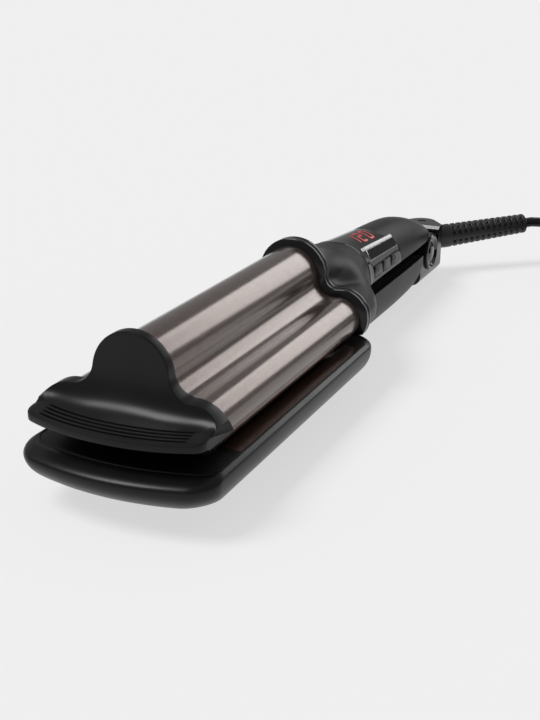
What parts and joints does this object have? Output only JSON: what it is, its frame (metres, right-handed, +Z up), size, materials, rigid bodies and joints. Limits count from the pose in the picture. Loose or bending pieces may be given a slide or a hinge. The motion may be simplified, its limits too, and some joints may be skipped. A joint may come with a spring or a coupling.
{
  "type": "hair waver",
  "caption": "Hair waver: a wavy hot plate over a barrel and troughs, hinged handles, side control panel with display and buttons, swivel cord with plug.",
  "frame": {"origin": "under the middle of the tool without its cord, on the surface that it rests on", "axes": "+X across the jaws to the control panel's side, +Y along the tool from the nose to the cord, +Z up"},
  "size_m": [0.1917, 0.3948, 0.0625],
  "materials": {
    "wave_plate": "satin rose-brown ceramic coating on aluminium, with a fine sparkle",
    "barrel_plate": "satin rose-brown ceramic coating on aluminium",
    "black_shell": "soft-touch black heat-proof plastic",
    "collar_plastic": "black heat-proof plastic, half matte",
    "handle_shell": "soft-touch black plastic",
    "inner_plastic": "plain moulded black plastic",
    "block_plastic": "heat-proof black plastic",
    "panel_gloss": "glossy black panel",
    "inlay_gloss": "glossy black bar with a light outline",
    "display_red": "red display module behind the panel",
    "circuit_board": "green circuit board",
    "switch_plastic": "small tactile switches",
    "button_plastic": "matte black buttons with sunk marks",
    "heater_metal": "aluminium-clad heating elements",
    "sensor_glass": "glass bead thermistor",
    "carrier_board": "mica-filled insulating board",
    "wire_sleeve": "silicone wire sleeves",
    "screw_steel": "zinc-plated steel screws",
    "pin_steel": "ground steel pin",
    "washer_nylon": "natural nylon washers",
    "hub_gloss": "half-gloss black hub",
    "cap_gloss": "glossy black hinge caps",
    "swivel_plastic": "smooth black swivel ball",
    "relief_rubber": "flexible black strain relief",
    "cord_rubber": "smooth black cord jacket",
    "plug_rubber": "moulded black plug",
    "plug_metal": "nickel-plated brass pins"
  },
  "bodies": {
    "lower_arm": {"tray_shell": "black_shell", "tray_front_block": "block_plastic", "tray_rear_block": "block_plastic", "barrel_plate": "barrel_plate", "barrel_heater": "heater_metal", "trough_heaters": "heater_metal", "heater_carrier": "carrier_board", "lower_wires": "wire_sleeve", "lever_shell": "handle_shell", "lever_cover": "inner_plastic", "lever_screws": "screw_steel", "hinge_hub": "hub_gloss", "hinge_pin": "pin_steel", "hinge_washers": "washer_nylon", "hinge_cap_left": "cap_gloss", "hinge_cap_right": "cap_gloss"},
    "upper_arm": {"wave_plate": "wave_plate", "front_cap": "black_shell", "rear_collar": "collar_plastic", "upper_heaters": "heater_metal", "temperature_sensor": "sensor_glass", "thermal_fuse": "heater_metal", "handle_cover": "handle_shell", "handle_base": "inner_plastic", "handle_screws": "screw_steel", "hinge_knuckle": "inner_plastic", "upper_wires": "wire_sleeve", "control_panel": "panel_gloss", "panel_inlay": "inlay_gloss", "display_module": "display_red", "main_board": "circuit_board", "switch_board": "circuit_board", "tactile_switches": "switch_plastic"},
    "minus_button": {"button_minus": "button_plastic"},
    "power_button": {"button_power": "button_plastic"},
    "plus_button": {"button_plus": "button_plastic"},
    "cord_swivel": {"swivel_ball": "swivel_plastic", "strain_relief": "relief_rubber", "cord_lead": "cord_rubber", "cord_coil": "cord_rubber", "cord_tail": "cord_rubber", "plug_body": "plug_rubber", "plug_pins": "plug_metal"}
  },
  "joints": [
    {"name": "arm_hinge", "type": "hinge", "parent": "lower_arm", "child": "upper_arm", "pos_m": [0, 0.13875, 0.0198], "axis": [-1, 0, 0], "range_deg": [0, 20]},
    {"name": "minus_press", "type": "slide", "parent": "upper_arm", "child": "minus_button", "axis": [-1, 0, 0], "range_m": [0, 0.0006], "stiffness_N_per_m": 400},
    {"name": "power_press", "type": "slide", "parent": "upper_arm", "child": "power_button", "axis": [-1, 0, 0], "range_m": [0, 0.0006], "stiffness_N_per_m": 400},
    {"name": "plus_press", "type": "slide", "parent": "upper_arm", "child": "plus_button", "axis": [-1, 0, 0], "range_m": [0, 0.0006], "stiffness_N_per_m": 400},
    {"name": "cord_turn", "type": "hinge", "parent": "lower_arm", "child": "cord_swivel", "pos_m": [0, 0.16375, 0.0195], "axis": [0, 0, 1], "range_deg": [0, 100]}
  ]
}
